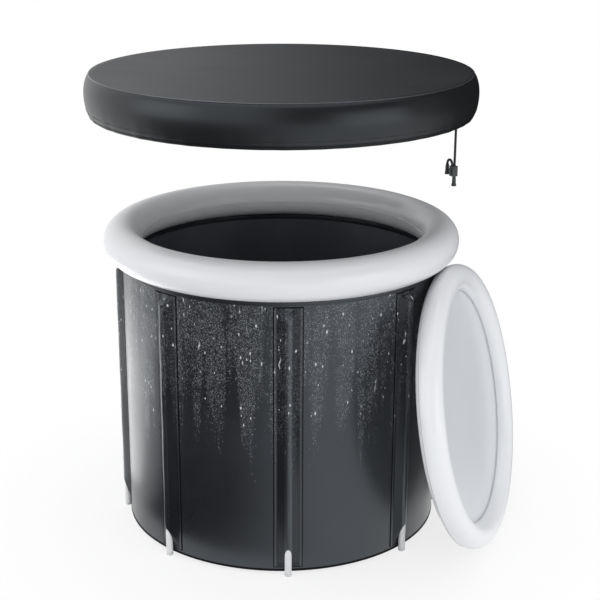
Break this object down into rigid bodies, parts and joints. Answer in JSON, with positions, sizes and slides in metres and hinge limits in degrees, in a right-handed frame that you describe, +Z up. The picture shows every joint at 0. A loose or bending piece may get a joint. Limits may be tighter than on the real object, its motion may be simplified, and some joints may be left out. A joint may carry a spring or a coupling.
{
  "type": "cold plunge tub",
  "caption": "Portable cold plunge tub with an insulated soft wall on poles, an inflated top ring, a drawstring cover lifted off and an inflated lid leaning at its side.",
  "frame": {"origin": "centre of the tub's underside, on the floor", "axes": "+Z up along the tub's axis, +X towards the leaning lid, +Y towards the drain at the back"},
  "size_m": [1.0041, 0.8968, 1.0834],
  "materials": {
    "black_vinyl": "satin coated fabric",
    "black_fabric": "matte",
    "cover_fabric": "matte coated fabric",
    "sleeve_vinyl": "satin coated fabric",
    "foam": "matte",
    "liner_vinyl": "satin",
    "ring_vinyl": "glossy",
    "lid_vinyl": "glossy",
    "membrane_vinyl": "satin",
    "pole_plastic": "satin",
    "foot_plastic": "satin",
    "valve_plastic": "satin",
    "drain_plastic": "satin",
    "rubber": "matte",
    "cord_weave": "matte",
    "lock_plastic": "satin",
    "eyelet_metal": "satin"
  },
  "bodies": {
    "tub": {"outer_shell": "black_vinyl", "wall_foam": "foam", "base_foam": "foam", "inner_liner": "liner_vinyl", "top_binding": "black_fabric", "top_ring": "ring_vinyl", "ring_valve_body": "valve_plastic", "drain_fitting": "drain_plastic", "drain_gasket": "rubber", "drain_washer": "rubber", "drain_nut": "drain_plastic", "pole_sleeve_1": "sleeve_vinyl", "support_pole_1": "pole_plastic", "pole_foot_1": "foot_plastic", "pole_sleeve_2": "sleeve_vinyl", "support_pole_2": "pole_plastic", "pole_foot_2": "foot_plastic", "pole_sleeve_3": "sleeve_vinyl", "support_pole_3": "pole_plastic", "pole_foot_3": "foot_plastic", "pole_sleeve_4": "sleeve_vinyl", "support_pole_4": "pole_plastic", "pole_foot_4": "foot_plastic", "pole_sleeve_5": "sleeve_vinyl", "support_pole_5": "pole_plastic", "pole_foot_5": "foot_plastic", "pole_sleeve_6": "sleeve_vinyl", "support_pole_6": "pole_plastic", "pole_foot_6": "foot_plastic", "pole_sleeve_7": "sleeve_vinyl", "support_pole_7": "pole_plastic", "pole_foot_7": "foot_plastic", "pole_sleeve_8": "sleeve_vinyl", "support_pole_8": "pole_plastic", "pole_foot_8": "foot_plastic"},
    "cover": {"cover_lining": "black_fabric", "cover_foam": "foam", "cover_top": "cover_fabric", "cover_skirt": "cover_fabric", "drawstring_loop": "cord_weave", "cord_eyelet": "eyelet_metal", "drawstring_tail": "cord_weave", "tail_bell": "lock_plastic"},
    "cord_lock": {"cord_lock_body": "lock_plastic", "drawstring_short_end": "cord_weave", "short_end_bell": "lock_plastic"},
    "lock_button": {"cord_lock_button": "lock_plastic"},
    "lid": {"lid_ring": "lid_vinyl", "lid_membrane": "membrane_vinyl", "lid_valve_body": "valve_plastic"},
    "lid_valve_cap": {"lid_valve_cap": "valve_plastic"},
    "ring_valve_cap": {"ring_valve_cap": "valve_plastic"},
    "drain_cap_seal": {"drain_cap_seal": "rubber"},
    "drain_cap": {"drain_cap": "drain_plastic"},
    "drain_stopper": {"drain_stopper": "rubber"}
  },
  "joints": [
    {"name": "cover_lift", "type": "slide", "parent": "tub", "child": "cover", "axis": [0, 0, 1], "range_m": [-0.335, 0.1]},
    {"name": "cord_lock_slide", "type": "slide", "parent": "cover", "child": "cord_lock", "axis": [0, 0, 1], "range_m": [0, 0.125]},
    {"name": "lock_button_press", "type": "slide", "parent": "cord_lock", "child": "lock_button", "axis": [0.7431, 0.6691, 0], "range_m": [0, 0.002], "stiffness_N_per_m": 400},
    {"name": "lid_tip", "type": "hinge", "parent": "tub", "child": "lid", "pos_m": [0.52572, 0, 0.03], "axis": [0, 1, 0], "range_deg": [0, 101.5]},
    {"name": "lid_valve_open", "type": "hinge", "parent": "lid", "child": "lid_valve_cap", "pos_m": [0.4466, 0.28205, 0.25299], "axis": [-0.1939, 0.2334, 0.9528], "range_deg": [0, 150]},
    {"name": "ring_valve_open", "type": "hinge", "parent": "tub", "child": "ring_valve_cap", "pos_m": [0.02184, -0.33326, 0.66581], "axis": [-0.9979, -0.0654, 0], "range_deg": [0, 150]},
    {"name": "drain_cap_off", "type": "slide", "parent": "tub", "child": "drain_cap_seal", "axis": [0, 1, 0], "range_m": [0, 0.018]},
    {"name": "drain_cap_turn", "type": "hinge", "parent": "drain_cap_seal", "child": "drain_cap", "pos_m": [0, 0.4, 0.052], "axis": [0, 1, 0], "range_deg": [0, 720]},
    {"name": "drain_stopper_pull", "type": "slide", "parent": "tub", "child": "drain_stopper", "axis": [0, -1, 0], "range_m": [0, 0.045]}
  ],
  "couplings": [
    {"joint": "drain_cap_off", "follows": "drain_cap_turn", "m_per_rad": 0.0014}
  ]
}
